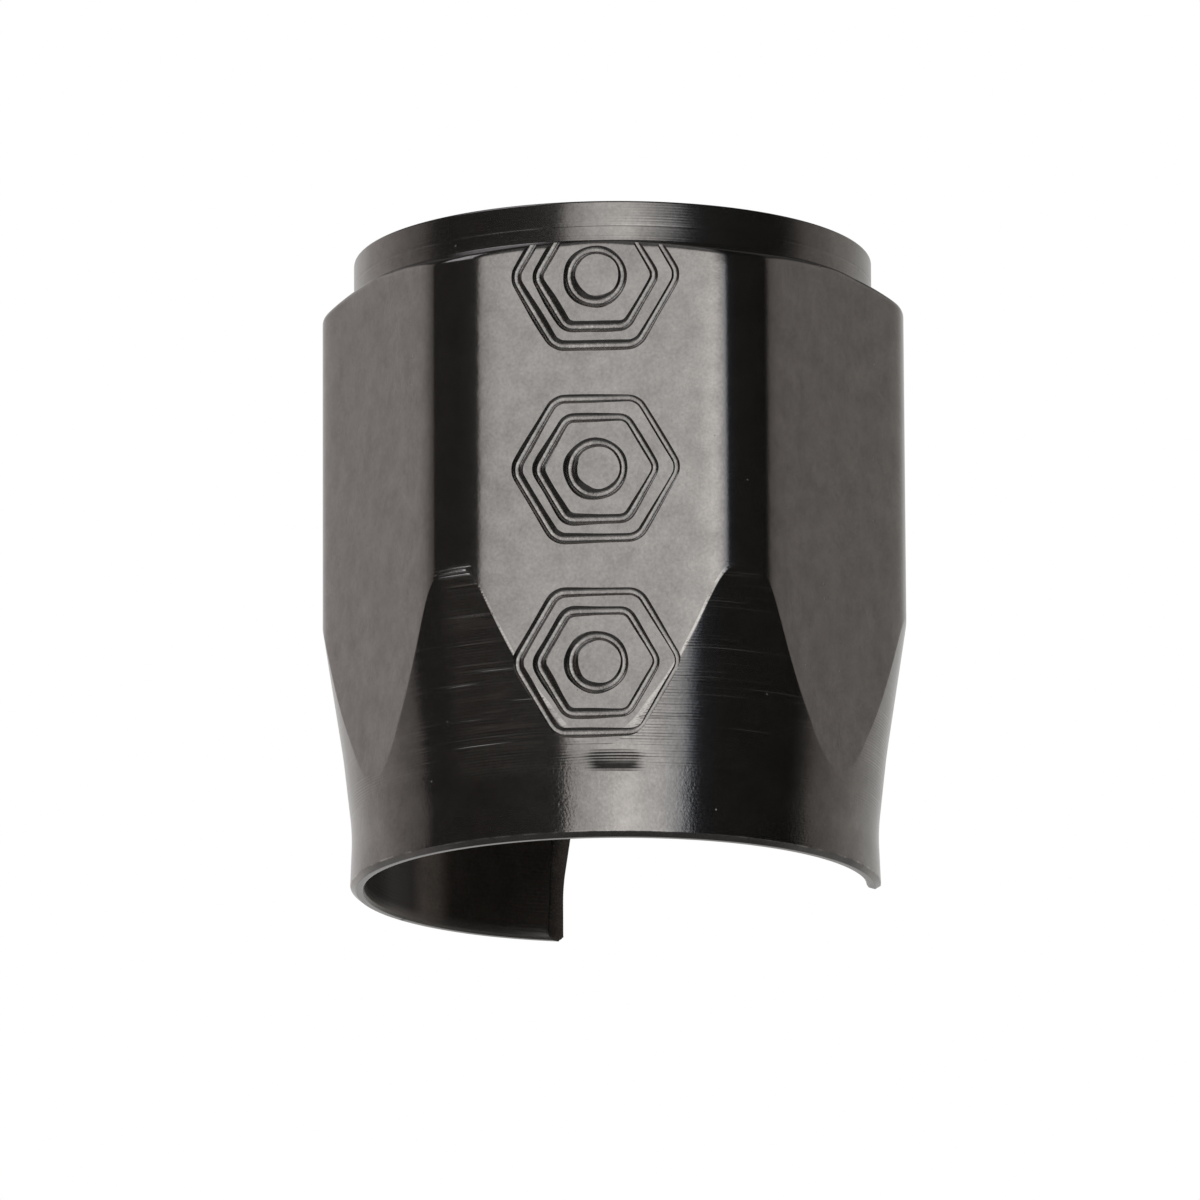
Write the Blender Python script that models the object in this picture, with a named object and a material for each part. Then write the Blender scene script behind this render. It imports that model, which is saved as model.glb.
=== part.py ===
"""Hexagon sleeve with a slotted skirt, for dressing the end of a braided hose.

One piece, turned from aluminium hexagon bar and anodised black. It slides over the hose with its
round collar facing along the hose. The hexagon takes a spanner. The thin skirt below it covers the
hose clamp, and a window in the skirt leaves room for the clamp's screw.

Row frame: +Z runs up the bore, the skirt's rim stands on z = 0, the collar is on top, and one flat
of the hexagon faces -Y. Sizes below are in millimetres; the mesh is in metres.
"""

import math

import bmesh
import bpy

MM = 0.001

# Bar and overall length
BAR_ACROSS_FLATS = 22.2
CORNER_DIAMETER = 24.4
SLEEVE_LENGTH = 26.8

# Collar above the hexagon
COLLAR_DIAMETER = 21.7
COLLAR_HEIGHT = 1.6
COLLAR_EDGE_BREAK = 0.15

# Cone turned on the hexagon's upper corners
CORNER_CONE_START_DIAMETER = 21.9
CORNER_CONE_ANGLE = math.radians(23.0)

# Tapered skirt: a cone off the hexagon, an easier cone down to a neck, then a slight flare
HEXAGON_LENGTH = 13.85
UPPER_CONE_HEIGHT = 5.7
UPPER_CONE_ANGLE = math.radians(8.9)
NECK_DIAMETER = 21.88
NECK_ABOVE_RIM = 2.4
NECK_BLEND_LENGTH = 1.4
RIM_DIAMETER = 22.06
RIM_CHAMFER_HEIGHT = 0.3
RIM_CHAMFER_DEPTH = 0.36

# Bores
SKIRT_WALL_AT_NECK = 0.54
SKIRT_WALL_AT_RIM = 0.63
CLAMP_CHAMBER_DEPTH = 14.0
HOSE_BORE_DIAMETER = 17.4
SEAT_ANGLE = math.radians(45.0)
BORE_MOUTH_CHAMFER = 0.4

# Window through the skirt, open at the rim
WINDOW_AZIMUTH = math.radians(145.0)
WINDOW_WIDTH = 16.9
WINDOW_HEIGHT = 8.2
WINDOW_CORNER_RADIUS = 3.2
WINDOW_SIDE_DRAFT = math.radians(1.5)

# Fineness of round surfaces
TURNED_STEPS = 144
BLEND_STEPS = 4
CORNER_STEPS = 6
CUTTER_OVERSHOOT = 3.0
SHARP_EDGE_ANGLE = math.radians(5.0)

BLACK_ANODISE = (0.020, 0.019, 0.018, 1.0)
ANODISE_ROUGHNESS = 0.28


def clear_scene():
    for old in list(bpy.data.objects):
        bpy.data.objects.remove(old, do_unlink=True)


def anodised_aluminium():
    material = bpy.data.materials.new("black_anodised_aluminium")
    material.use_nodes = True
    shader = material.node_tree.nodes["Principled BSDF"]
    shader.inputs["Base Color"].default_value = BLACK_ANODISE
    shader.inputs["Metallic"].default_value = 1.0
    shader.inputs["Roughness"].default_value = ANODISE_ROUGHNESS
    return material


def new_object(name, vertices_mm, edges, faces):
    mesh = bpy.data.meshes.new(name)
    mesh.from_pydata([tuple(c * MM for c in v) for v in vertices_mm], edges, faces)
    mesh.validate()
    obj = bpy.data.objects.new(name, mesh)
    bpy.context.scene.collection.objects.link(obj)
    return obj


def skirt_outline():
    """(radius, height) down the skirt: the two cones, the blended neck and the flare to the rim."""
    corner = CORNER_DIAMETER / 2
    neck = NECK_DIAMETER / 2
    break_z = SLEEVE_LENGTH - COLLAR_HEIGHT - HEXAGON_LENGTH
    knee_z = break_z - UPPER_CONE_HEIGHT
    knee = corner - UPPER_CONE_HEIGHT * math.tan(UPPER_CONE_ANGLE)
    lower_slope = (knee - neck) / (knee_z - NECK_ABOVE_RIM)
    flare_slope = (RIM_DIAMETER / 2 - neck) / (NECK_ABOVE_RIM - RIM_CHAMFER_HEIGHT)
    outline = [(corner, break_z), (knee, knee_z)]
    # The neck is a parabola that leaves the lower cone and meets the flare with no corner.
    half = NECK_BLEND_LENGTH / 2
    for step in range(BLEND_STEPS + 1):
        across = step / BLEND_STEPS
        height = NECK_ABOVE_RIM + half * (1 - 2 * across)
        from_cone = (1 - across) ** 2 * lower_slope
        from_flare = across**2 * flare_slope
        outline.append((neck + half * (from_cone + from_flare), height))
    outline.append((RIM_DIAMETER / 2, RIM_CHAMFER_HEIGHT))
    outline.append((RIM_DIAMETER / 2 - RIM_CHAMFER_DEPTH, 0.0))
    return outline


def turned_outline():
    """The whole turned section as (radius, height): down the outside, then up through the bores."""
    top = SLEEVE_LENGTH
    shoulder_z = top - COLLAR_HEIGHT
    collar = COLLAR_DIAMETER / 2
    cone_start = CORNER_CONE_START_DIAMETER / 2
    corner = CORNER_DIAMETER / 2
    cone_drop = abs(corner - cone_start) * math.tan(CORNER_CONE_ANGLE)
    hose = HOSE_BORE_DIAMETER / 2
    # The chamber stays inside the neck and inside the flats, whichever is narrower.
    chamber = min(NECK_DIAMETER, BAR_ACROSS_FLATS) / 2 - SKIRT_WALL_AT_NECK
    seat_rise = (chamber - hose) / math.tan(SEAT_ANGLE)
    outside = [
        (hose + BORE_MOUTH_CHAMFER, top),
        (collar - COLLAR_EDGE_BREAK, top),
        (collar, top - COLLAR_EDGE_BREAK),
        (collar, shoulder_z),
        (cone_start, shoulder_z),
        (corner, shoulder_z - cone_drop),
    ]
    inside = [
        (RIM_DIAMETER / 2 - SKIRT_WALL_AT_RIM, 0.0),
        (chamber, NECK_ABOVE_RIM),
        (chamber, CLAMP_CHAMBER_DEPTH),
        (hose, CLAMP_CHAMBER_DEPTH + seat_rise),
        (hose, top - BORE_MOUTH_CHAMFER),
    ]
    return outside + skirt_outline() + inside


def turned_blank():
    """Revolves the section about Z: the sleeve as it would be if the bar were round."""
    outline = turned_outline()
    count = len(outline)
    vertices = [(radius, 0.0, height) for radius, height in outline]
    edges = [(i, (i + 1) % count) for i in range(count)]
    sleeve = new_object("tube_seal", vertices, edges, [])
    screw = sleeve.modifiers.new("turn", "SCREW")
    screw.axis = "Z"
    screw.angle = math.tau
    screw.steps = TURNED_STEPS
    screw.render_steps = TURNED_STEPS
    screw.use_merge_vertices = True
    screw.merge_threshold = 0.000001
    return sleeve


def prism(name, outline, direction, start, length):
    """A closed prism: outline points (x, y, z) in millimetres, pushed along direction."""
    near = [tuple(p[k] + direction[k] * start for k in range(3)) for p in outline]
    far = [tuple(p[k] + direction[k] * (start + length) for k in range(3)) for p in outline]
    count = len(outline)
    sides = [(i, (i + 1) % count, count + (i + 1) % count, count + i) for i in range(count)]
    ends = [tuple(range(count - 1, -1, -1)), tuple(range(count, 2 * count))]
    cutter = new_object(name, near + far, [], sides + ends)
    work = bmesh.new()
    work.from_mesh(cutter.data)
    bmesh.ops.recalc_face_normals(work, faces=work.faces)
    work.to_mesh(cutter.data)
    work.free()
    cutter.hide_render = True
    cutter.display_type = "WIRE"
    return cutter


def hexagon_bar():
    """The bar's hexagon as a long prism, a flat towards -Y."""
    corner = BAR_ACROSS_FLATS / 2 / math.cos(math.pi / 6)
    outline = []
    for side in range(6):
        angle = math.pi / 3 * side
        outline.append((corner * math.cos(angle), corner * math.sin(angle), 0.0))
    length = SLEEVE_LENGTH + 2 * CUTTER_OVERSHOOT
    return prism("hexagon_bar", outline, (0.0, 0.0, 1.0), -CUTTER_OVERSHOOT, length)


def window_half_outline():
    """(half width, height) up one side of the window: drafted side, then the rounded corner."""
    radius = WINDOW_CORNER_RADIUS
    foot = WINDOW_WIDTH / 2
    corner_z = WINDOW_HEIGHT - radius
    side_x = foot - corner_z * math.tan(WINDOW_SIDE_DRAFT)
    below = CUTTER_OVERSHOOT
    points = [(foot + below * math.tan(WINDOW_SIDE_DRAFT), -below)]
    for step in range(CORNER_STEPS + 1):
        turn = math.pi / 2 * step / CORNER_STEPS
        x = side_x - radius * (1 - math.cos(turn))
        points.append((x, corner_z + radius * math.sin(turn)))
    return points


def window_cutter():
    """A prism with the window's outline, pushed outwards through the skirt wall."""
    outward = (math.sin(WINDOW_AZIMUTH), -math.cos(WINDOW_AZIMUTH), 0.0)
    across = (math.cos(WINDOW_AZIMUTH), math.sin(WINDOW_AZIMUTH), 0.0)
    half = window_half_outline()
    flat = half + [(-x, z) for x, z in reversed(half)]
    outline = [(across[0] * x, across[1] * x, z) for x, z in flat]
    reach = CORNER_DIAMETER / 2 + CUTTER_OVERSHOOT
    return prism("window_cutter", outline, outward, 0.0, reach)


def cut(target, tool, operation, name):
    boolean = target.modifiers.new(name, "BOOLEAN")
    boolean.operation = operation
    boolean.solver = "EXACT"
    boolean.object = tool


def keep_result(obj):
    """Applies the modifiers, so that the mesh itself can be shaded: round faces smooth, edges sharp."""
    evaluated = obj.evaluated_get(bpy.context.evaluated_depsgraph_get())
    result = bpy.data.meshes.new_from_object(evaluated)
    obj.modifiers.clear()
    obj.data = result
    result.shade_smooth()
    result.set_sharp_from_angle(angle=SHARP_EDGE_ANGLE)


def main():
    clear_scene()
    sleeve = turned_blank()
    sleeve.data.materials.append(anodised_aluminium())
    cut(sleeve, hexagon_bar(), "INTERSECT", "mill_flats")
    cut(sleeve, window_cutter(), "DIFFERENCE", "mill_window")
    keep_result(sleeve)


main()
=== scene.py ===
"""Hexagon sleeve for the end of a braided hose, in black anodised aluminium, on a pale studio floor.

Lengths are in millimetres while shapes are worked out, and in metres in the meshes. The bore runs
along Z, the skirt's rim stands on z = 0, and the marked flat faces -Y. Angles round the sleeve start
at -Y and grow towards +X.
"""

import math

import bmesh
import bpy
import numpy as np
from mathutils import Matrix, Vector


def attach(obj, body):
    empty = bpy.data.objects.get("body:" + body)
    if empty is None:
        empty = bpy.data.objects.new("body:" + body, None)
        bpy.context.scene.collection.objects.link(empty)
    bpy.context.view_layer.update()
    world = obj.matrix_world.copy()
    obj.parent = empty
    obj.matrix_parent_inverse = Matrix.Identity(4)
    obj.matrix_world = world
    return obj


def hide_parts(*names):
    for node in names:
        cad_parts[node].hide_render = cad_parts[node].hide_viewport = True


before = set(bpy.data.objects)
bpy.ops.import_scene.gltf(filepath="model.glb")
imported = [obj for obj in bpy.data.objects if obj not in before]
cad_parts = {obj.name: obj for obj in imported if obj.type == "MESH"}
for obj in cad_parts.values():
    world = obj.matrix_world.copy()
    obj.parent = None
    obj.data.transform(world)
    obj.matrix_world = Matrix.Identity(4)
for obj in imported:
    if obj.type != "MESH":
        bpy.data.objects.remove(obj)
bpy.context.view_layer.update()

MM = 0.001
TAU = 2 * math.pi

# Turned and milled sizes. They are the solid's, apart from the shoulder, which is 0.11 lower here,
# and the rim's outer chamfer, which is smaller.
FLAT_DISTANCE = 11.1
CORNER_RADIUS = 12.2
LENGTH = 26.8
COLLAR_RADIUS = 10.85
SHOULDER_Z = 25.09
CONE_START_RADIUS = 10.95
CONE_SLOPE = math.tan(math.radians(23.0))
BREAK_Z = 11.35
UPPER_SLOPE = math.tan(math.radians(8.9))
KNEE_Z = 5.65
NECK_RADIUS = 10.94
NECK_Z = 2.4
NECK_BLEND = 0.7
RIM_RADIUS = 11.03
CHAMFER_HEIGHT = 0.19
CHAMFER_FOOT_RADIUS = 10.8
CHAMBER_RADIUS = 10.4
CHAMBER_DEPTH = 14.0
BORE_RADIUS = 8.7
MOUTH_CHAMFER = 0.4
SEAT_TOP_Z = CHAMBER_DEPTH + CHAMBER_RADIUS - BORE_RADIUS
HAIRLINE_Z = 25.75
HAIRLINE_DEPTH = 0.007
KNEE_RADIUS = CORNER_RADIUS - (BREAK_Z - KNEE_Z) * UPPER_SLOPE
LOWER_SLOPE = (KNEE_RADIUS - NECK_RADIUS) / (KNEE_Z - NECK_Z)
FLARE_SLOPE = (RIM_RADIUS - NECK_RADIUS) / (NECK_Z - CHAMFER_HEIGHT)

# Window through the skirt
WINDOW_AZIMUTH = math.radians(145.0)
WINDOW_HALF_WIDTH = 8.45
WINDOW_HEIGHT = 8.2
WINDOW_CORNER = 3.2
WINDOW_DRAFT = math.tan(math.radians(1.5))

# How soft the edges are: a larger value rounds more. The bar's edge radius stands a little over the
# corner radius, because its softness takes that much off. Edges past the angle are shaded sharp.
BAR_EDGE_SOFTNESS = 0.24
BAR_EDGE_RADIUS = 12.22
TAPER_EDGE_SOFTNESS = 0.006
TOP_EDGE_ROUNDING = 0.2
TURNED_CORNER_CUT = 0.05
RIM_CORNER_CUT = 0.035
WINDOW_EDGE_BREAK = 0.06
SHARP_ANGLE = math.radians(24.0)

# Stamped marks: a ring inside two hexagons, three times down the front flat
MARK_HEIGHTS = (23.55, 15.4, 7.25)
MARK_HALF_HEIGHT = 2.95
MARK_INNER_HALF_HEIGHT = 2.15
MARK_RING_RADIUS = 1.1
MARK_CORNER_SHARE = 1.115
MARK_EDGE_SOFTNESS = 0.05
GROOVE_DEPTH = 0.15
GROOVE_HALF_WIDTH = 0.22

# Grid fineness
COLUMN_STEP_WIDE = 0.26
COLUMN_STEP_FINE = 0.09
FINE_COLUMNS_REACH = 0.75
CONE_FIRST_STEP = 0.06
TAPER_FOOT_Z = 3.2


def soft_min(a, b, softness):
    """The smaller of two surfaces, with their crossing rounded: half of (a + b less the root of
    (a - b) squared plus softness squared)."""
    return (a + b - np.sqrt((a - b) ** 2 + softness**2)) / 2


def rounded_hexagon(angle, flat_distance, corner_radius, softness):
    """A hexagon's radius at an angle: the distance to the nearest side over the cosine of the angle
    from that side's middle, rounded into a circle at the corners."""
    sector = TAU / 6
    local = (angle + sector / 2) % sector - sector / 2
    return soft_min(flat_distance / np.cos(local), corner_radius, softness)


def bar_radius(angle):
    """The milled bar at an angle: its flats, rounded into the turned corner cylinder."""
    return rounded_hexagon(angle, FLAT_DISTANCE, BAR_EDGE_RADIUS, BAR_EDGE_SOFTNESS)


def taper_radius(z):
    """The turned taper at a height: the wider of the two cones above the neck, a parabola through
    the neck, and the flare's straight line below it."""
    upper = CORNER_RADIUS + (z - BREAK_Z) * UPPER_SLOPE
    lower = NECK_RADIUS + (z - NECK_Z) * LOWER_SLOPE
    cones = -soft_min(-upper, -lower, 0.01)
    across = np.clip((1 - (z - NECK_Z) / NECK_BLEND) / 2, 0, 1)
    neck = NECK_RADIUS + NECK_BLEND * ((1 - across) ** 2 * LOWER_SLOPE + across**2 * FLARE_SLOPE)
    flare = NECK_RADIUS + (NECK_Z - z) * FLARE_SLOPE
    return np.where(z > NECK_Z + NECK_BLEND, cones, np.where(z > NECK_Z - NECK_BLEND, neck, flare))


def skin_radius(angle, z):
    """The outer skin at an angle and height below the shoulder: the bar cut by the taper."""
    skin = soft_min(bar_radius(angle), taper_radius(z), TAPER_EDGE_SOFTNESS)
    foot = CHAMFER_FOOT_RADIUS + z / CHAMFER_HEIGHT * (RIM_RADIUS - CHAMFER_FOOT_RADIUS)
    return np.minimum(skin, np.maximum(foot, CHAMFER_FOOT_RADIUS))


def rounded(points, cut, steps=4):
    """A polyline with each inner corner replaced by a quadratic curve that starts and ends at most
    cut from the corner, and never past the middle of a side."""
    points = np.array(points, float)
    corners = points[1:-1]
    ends = []
    for sides in (points[:-2] - corners, points[2:] - corners):
        length = np.linalg.norm(sides, axis=1)[:, None]
        ends.append(corners + sides / length * np.minimum(cut, length * 0.45))
    t = np.linspace(0, 1, steps + 1)[None, :, None]
    start = (1 - t) ** 2 * ends[0][:, None]
    middle = 2 * t * (1 - t) * corners[:, None]
    end = t**2 * ends[1][:, None]
    return np.vstack([points[:1], (start + middle + end).reshape(-1, 2), points[-1:]])


def column_angles():
    """Angles of the grid's columns: six equal sectors, closer together where the flats round into
    the corners. The step follows a bell curve of the distance from that edge."""
    edge = math.acos(FLAT_DISTANCE / CORNER_RADIUS)
    fine = np.linspace(0, TAU / 12, 4000)
    bell = np.exp(-(((fine - edge) * CORNER_RADIUS / FINE_COLUMNS_REACH) ** 2))
    density = (1 / COLUMN_STEP_WIDE) * (1 - bell) + (1 / COLUMN_STEP_FINE) * bell
    gained = (density[1:] + density[:-1]) / 2 * np.diff(fine) * CORNER_RADIUS
    count = np.concatenate([[0], np.cumsum(gained)])
    cells = int(round(count[-1]))
    half = np.interp(np.linspace(0, count[-1], cells + 1), count, fine)
    sector = np.concatenate([-half[:0:-1], half[:-1]])
    return (np.arange(6)[:, None] * TAU / 6 + sector[None, :]).ravel()


def cone_height(radius):
    """Height of the corner cone at a radius."""
    return SHOULDER_Z - (radius - CONE_START_RADIUS) * CONE_SLOPE


def collar_rows():
    """Radius and height from the seat up the hose bore, over the collar's face, down its side past
    a hairline, and out to the start of the corner cone."""
    corners = [
        (BORE_RADIUS, SEAT_TOP_Z + 0.3),
        (BORE_RADIUS, 18.0),
        (BORE_RADIUS, 22.0),
        (BORE_RADIUS, LENGTH - MOUTH_CHAMFER),
        (BORE_RADIUS + MOUTH_CHAMFER, LENGTH),
        (9.9, LENGTH),
        (COLLAR_RADIUS - 0.04, LENGTH),
        (COLLAR_RADIUS, LENGTH - 0.05),
        (COLLAR_RADIUS, HAIRLINE_Z + 0.05),
        (COLLAR_RADIUS - HAIRLINE_DEPTH, HAIRLINE_Z + 0.012),
        (COLLAR_RADIUS - HAIRLINE_DEPTH, HAIRLINE_Z - 0.012),
        (COLLAR_RADIUS, HAIRLINE_Z - 0.05),
        (COLLAR_RADIUS, SHOULDER_Z),
        (CONE_START_RADIUS, SHOULDER_Z),
        (CONE_START_RADIUS + CONE_FIRST_STEP, cone_height(CONE_START_RADIUS + CONE_FIRST_STEP)),
    ]
    return rounded(corners, TURNED_CORNER_CUT)


def cone_rows(bar):
    """Down the corner cone and round its edge: straight lines towards the bar's own radius, then a
    quadratic curve from the cone to the vertical."""
    back = TOP_EDGE_ROUNDING * math.cos(math.atan(CONE_SLOPE))
    first = CONE_START_RADIUS + CONE_FIRST_STEP
    last = np.maximum(bar - back, first + 0.01)
    r = first + np.array([0.4, 0.8])[:, None] * (last - first)
    t = np.linspace(0, 1, 7)[:, None]
    edge_z = cone_height(bar)
    end_z = edge_z - TOP_EDGE_ROUNDING * 1.3
    round_r = (1 - t) ** 2 * last + 2 * t * (1 - t) * bar + t**2 * bar
    round_z = (1 - t) ** 2 * cone_height(last) + 2 * t * (1 - t) * edge_z + t**2 * end_z
    return np.vstack([r, round_r]), np.vstack([cone_height(r), round_z])


def tongue_heights(bar):
    """Height at which the taper reaches the bar's radius: the curve that ends each flat."""
    z = np.linspace(TAPER_FOOT_Z - 1, BREAK_Z + 1, 6000)
    return np.interp(bar, taper_radius(z), z)


def flank_rows(angles, top_z, bar):
    """Heights from under the cone's edge, down each flat to its tongue's edge, and on down the
    taper: fixed offsets beside the edge and equal shares between. The radius is the skin's."""
    edge = tongue_heights(bar)
    near = np.array([0.3, 0.12, 0.05, 0.02])[:, None]
    share = np.array([0.03, 0.12, 0.3, 0.5, 0.7, 0.9])[:, None]
    above = top_z + share * (edge + 0.3 - top_z)
    foot = edge - 0.3
    share = np.linspace(0, 1, 17)[1:, None]
    below = foot + share * (TAPER_FOOT_Z - foot)
    z = np.vstack([above, edge + near, edge[None, :], edge - near[::-1], below])
    return skin_radius(angles[None, :], z), z


def rim_rows():
    """Radius and height below the taper: neck, flare, chamfer, end face, and up the chamber to the
    seat under the hose bore."""
    z = np.concatenate([np.linspace(3.05, 1.7, 12), [1.3, 0.9, 0.6]])
    outside = np.column_stack([taper_radius(z), z])
    corners = [
        (RIM_RADIUS - 0.003, CHAMFER_HEIGHT + 0.1),
        (RIM_RADIUS, CHAMFER_HEIGHT),
        (CHAMFER_FOOT_RADIUS, 0.0),
        (CHAMBER_RADIUS + 0.12, 0.0),
        (CHAMBER_RADIUS + 0.04, 0.1),
        (CHAMBER_RADIUS + 0.012, 0.22),
        (CHAMBER_RADIUS, 0.45),
        (CHAMBER_RADIUS, 2.0),
        (CHAMBER_RADIUS, 5.0),
        (CHAMBER_RADIUS, 8.0),
        (CHAMBER_RADIUS, 11.0),
        (CHAMBER_RADIUS, CHAMBER_DEPTH),
        (BORE_RADIUS, SEAT_TOP_Z),
        (BORE_RADIUS, SEAT_TOP_Z + 0.15),
    ]
    return np.vstack([outside, rounded(corners, RIM_CORNER_CUT)])


def add_mesh(name, points, faces):
    """A mesh object from points in millimetres and rows of corner numbers, faces turned outwards."""
    mesh = bpy.data.meshes.new(name)
    mesh.from_pydata((points * MM).tolist(), [], faces)
    work = bmesh.new()
    work.from_mesh(mesh)
    bmesh.ops.recalc_face_normals(work, faces=work.faces)
    work.to_mesh(mesh)
    work.free()
    piece = bpy.data.objects.new(name, mesh)
    bpy.context.scene.collection.objects.link(piece)
    return piece


def ring_faces(rows, columns, rows_closed, columns_closed):
    """Quads of a grid whose point number is row times columns plus column."""
    r = np.arange(rows if rows_closed else rows - 1)[:, None]
    c = np.arange(columns if columns_closed else columns - 1)[None, :]
    r1 = (r + 1) % rows
    c1 = (c + 1) % columns
    quads = np.stack([r * columns + c, r * columns + c1, r1 * columns + c1, r1 * columns + c], axis=-1)
    return quads.reshape(-1, 4)


def sleeve_body():
    """The whole skin as one closed grid. Each row is a ring; a point is radius times (sine, minus
    cosine) of its column's angle, at its row's height."""
    angles = column_angles()
    bar = bar_radius(angles)
    ones = np.ones_like(angles)
    collar = collar_rows()
    cone_r, cone_z = cone_rows(bar)
    flank_r, flank_z = flank_rows(angles, cone_z[-1], bar)
    rim = rim_rows()
    radius = np.vstack([collar[:, :1] * ones, cone_r, flank_r, rim[:, :1] * ones])
    height = np.vstack([collar[:, 1:] * ones, cone_z, flank_z, rim[:, 1:] * ones])
    points = np.stack([radius * np.sin(angles), -radius * np.cos(angles), height], axis=-1)
    faces = ring_faces(len(radius), len(angles), True, True)
    return add_mesh("sleeve", points.reshape(-1, 3), faces.tolist())


def window_outline():
    """Half width and height along the window's edge: drafted side, quarter circle, straight top,
    then the mirror image. It starts and ends below the rim."""
    corner_z = WINDOW_HEIGHT - WINDOW_CORNER
    side_z = np.linspace(-1.0, corner_z, 46)
    side_x = WINDOW_HALF_WIDTH - side_z * WINDOW_DRAFT
    turn = np.linspace(0, math.pi / 2, 41)[1:]
    arc_x = side_x[-1] - WINDOW_CORNER * (1 - np.cos(turn))
    arc_z = corner_z + WINDOW_CORNER * np.sin(turn)
    top_x = np.linspace(arc_x[-1], 0, 42)[1:]
    x = np.concatenate([side_x, arc_x, top_x])
    z = np.concatenate([side_z, arc_z, np.full(len(top_x), WINDOW_HEIGHT)])
    return np.concatenate([x, -x[-2::-1]]), np.concatenate([z, z[-2::-1]])


OUTWARD = np.array([math.sin(WINDOW_AZIMUTH), -math.cos(WINDOW_AZIMUTH), 0.0])
ACROSS = np.array([math.cos(WINDOW_AZIMUTH), math.sin(WINDOW_AZIMUTH), 0.0])
UP = np.array([0.0, 0.0, 1.0])


def window_cutter():
    """The window's outline pushed straight outwards through the wall."""
    x, z = window_outline()
    inside_bore = 4.0
    outside_skirt = 14.0
    flat = x[:, None] * ACROSS + z[:, None] * UP
    points = np.vstack([flat + inside_bore * OUTWARD, flat + outside_skirt * OUTWARD])
    count = len(x)
    sides = ring_faces(2, count, False, True).tolist()
    caps = [list(range(count)), list(range(2 * count - 1, count - 1, -1))]
    return add_mesh("window_cutter", points, sides + caps)


def unit(vectors):
    """Vectors of length 1 along the given ones."""
    return vectors / np.linalg.norm(vectors, axis=-1, keepdims=True)


def edge_breaker(name, radius_at, into_wall):
    """A three-sided bar along the window's edge on one skin. One side runs from a point on the skin
    beside the edge to a point on the cut face below it, so it takes off a small chamfer. The edge's
    depth is the root of the skin's radius squared less x squared, found by repeating it."""
    x, z = window_outline()
    depth = np.full(len(x), 10.0)
    for _ in range(8):
        angle = WINDOW_AZIMUTH + np.arctan2(x, depth)
        depth = np.sqrt(np.maximum(radius_at(angle, z) ** 2 - x**2, 1.0))
    path = x[:, None] * ACROSS + depth[:, None] * OUTWARD + z[:, None] * UP
    along = unit(np.gradient(path, axis=0))
    cut = into_wall * OUTWARD[None, :]
    cut = unit(cut - (cut * along).sum(1, keepdims=True) * along)
    radial = unit(path * np.array([1.0, 1.0, 0.0]))
    skin = np.cross(along, radial)
    middle_z = 3.0
    away = x[:, None] * ACROSS + (z - middle_z)[:, None] * UP
    skin = unit(skin * np.sign((skin * away).sum(1, keepdims=True)))
    size = WINDOW_EDGE_BREAK
    on_skin = path + size * skin
    on_cut = path + size * cut
    lean = 0.5 * size * unit(on_skin - on_cut)
    wedge = 1.6 * size * unit(skin + cut)
    ring = np.stack([on_skin + lean, on_cut - lean, path - wedge], axis=1)
    faces = ring_faces(len(x), 3, False, True).tolist()
    last = 3 * (len(x) - 1)
    caps = [[0, 1, 2], [last + 2, last + 1, last]]
    return add_mesh(name, ring.reshape(-1, 3), faces + caps)


def loop_hexagon(half_height):
    """A hexagon with level top and bottom and rounded corners, as equal steps of angle."""
    turn = np.linspace(0, TAU, 192, endpoint=False)
    corner_radius = half_height * MARK_CORNER_SHARE
    radius = rounded_hexagon(turn, half_height, corner_radius, MARK_EDGE_SOFTNESS)
    return turn, np.column_stack([radius * np.sin(turn), radius * np.cos(turn)])


def loop_ring(radius):
    """A circle, as equal steps of angle."""
    turn = np.linspace(0, TAU, 96, endpoint=False)
    return turn, np.column_stack([radius * np.sin(turn), radius * np.cos(turn)])


def groove_cutter(name, turn_and_loop, centre_z, struck, number):
    """A groove's section carried along a closed line on the front flat: a soft shoulder, sloped
    walls and a narrow floor. The blow was stronger at the lower left, so the groove's depth is its
    mean share plus a cosine of the angle round the mark and a smaller, quicker wave."""
    turn, loop = turn_and_loop
    lean = 0.3 * np.cos(turn - 4.0 - 0.3 * number)
    waver = 0.07 * np.sin(5 * turn + 2.1 * number)
    share = struck + lean + waver
    w = GROOVE_HALF_WIDTH
    d = GROOVE_DEPTH
    half = np.array([
        (1.9, -0.9), (1.35, -0.05), (1.1, 0.1), (0.9, 0.32), (0.62, 0.72), (0.42, 0.93), (0.2, 1.0),
    ])
    section = np.vstack([half * (-w, d), half[::-1] * (w, d)])
    ahead = unit(np.roll(loop, -1, axis=0) - np.roll(loop, 1, axis=0))
    side = np.column_stack([-ahead[:, 1], ahead[:, 0]])
    flat = loop[:, None, :] + side[:, None, :] * section[None, :, :1]
    depth = section[None, :, 1] - (1 - share[:, None]) * d
    points = np.stack([flat[..., 0], depth - FLAT_DISTANCE, flat[..., 1] + centre_z], axis=-1)
    faces = ring_faces(len(loop), len(section), True, True).tolist()
    return add_mesh(name, points.reshape(-1, 3), faces)


def machine(body, cutters):
    """Takes all cutters off the body in one exact Boolean and keeps the result."""
    tools = bpy.data.collections.new("cutters")
    for cutter in cutters:
        tools.objects.link(cutter)
    boolean = body.modifiers.new("machine", "BOOLEAN")
    boolean.operation = "DIFFERENCE"
    boolean.solver = "EXACT"
    boolean.operand_type = "COLLECTION"
    boolean.collection = tools
    boolean.material_mode = "TRANSFER"
    graph = bpy.context.evaluated_depsgraph_get()
    result = bpy.data.meshes.new_from_object(body.evaluated_get(graph))
    body.modifiers.clear()
    body.data = result
    for cutter in cutters:
        bpy.data.objects.remove(cutter)
    bpy.data.collections.remove(tools)


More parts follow.
